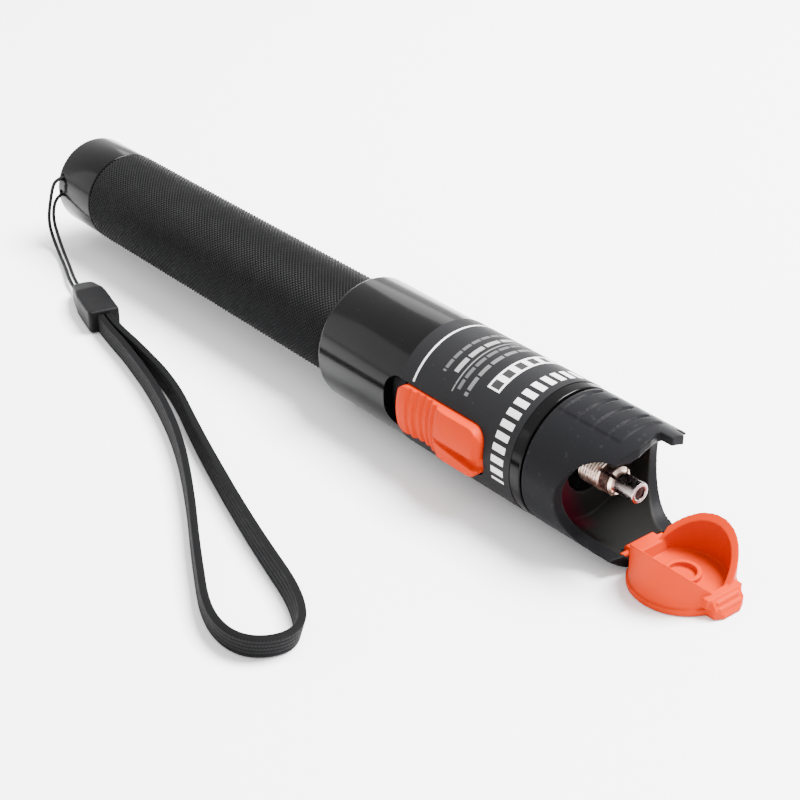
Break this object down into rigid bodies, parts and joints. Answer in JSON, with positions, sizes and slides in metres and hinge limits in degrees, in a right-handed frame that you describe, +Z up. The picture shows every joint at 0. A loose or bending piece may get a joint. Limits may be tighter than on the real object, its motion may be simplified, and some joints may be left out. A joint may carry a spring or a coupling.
{
  "type": "visual fault locator",
  "caption": "Pen-type red laser tester for fibre: slotted head with a ferrule port, hinged dust cap, slide switch, knurled grip, tail cap and wrist strap, lying on its side.",
  "frame": {"origin": "on the pen's axis at the mouth of the ferrule sleeve", "axes": "+X along the pen toward its head, +Z up as the pen lies, the slide switch faces -Y"},
  "size_m": [0.2042, 0.0844, 0.0263],
  "materials": {
    "anodised_tube": "fine knurl, anodised",
    "black_lacquer": "gloss lacquer",
    "label_film": "matte film",
    "black_plastic": "satin moulding",
    "orange_plastic": "satin moulding",
    "brass": "turned",
    "steel": "turned",
    "zirconia": "ground",
    "lens_glass": "polished",
    "board_green": "solder mask",
    "chip_black": "matte",
    "white_plastic": "moulded",
    "cell_jacket": "printed jacket",
    "rubber": "matte",
    "cord_black": "woven",
    "soft_black": "satin"
  },
  "bodies": {
    "housing": {"front_body": "black_lacquer", "label_wrap": "label_film", "grip_tube": "anodised_tube", "front_seal_ring": "rubber", "battery_front": "cell_jacket", "battery_rear": "cell_jacket", "contact_plate": "brass", "contact_insulator": "white_plastic", "board_carrier": "black_plastic", "circuit_board": "board_green", "driver_chip": "chip_black", "power_inductor": "chip_black", "slide_switch": "steel", "switch_bed": "black_plastic", "laser_holder": "anodised_tube", "laser_diode": "steel", "collimator_lens": "lens_glass", "threaded_collet": "brass", "ferrule_sleeve": "steel", "split_sleeve": "zirconia", "head_shroud": "black_plastic"},
    "switch": {"switch_button": "orange_plastic", "switch_lever": "white_plastic"},
    "dust_cap": {"dust_cap": "orange_plastic"},
    "tail_cap": {"tail_cap": "black_lacquer", "tail_seal_ring": "rubber", "tail_spring": "steel", "string_strand_outer": "cord_black", "string_strand_inner": "cord_black", "lanyard_clamp": "soft_black", "wrist_strap": "cord_black"}
  },
  "joints": [
    {"name": "switch_slide", "type": "slide", "parent": "housing", "child": "switch", "axis": [1, 0, 0], "range_m": [-0.0036, 0]},
    {"name": "dust_cap_hinge", "type": "hinge", "parent": "housing", "child": "dust_cap", "pos_m": [0.0013, 0, -0.0102], "axis": [0, -1, 0], "range_deg": [-5, 90]},
    {"name": "tail_cap_screw", "type": "slide", "parent": "housing", "child": "tail_cap", "axis": [-1, 0, 0], "range_m": [0, 0.015]}
  ]
}
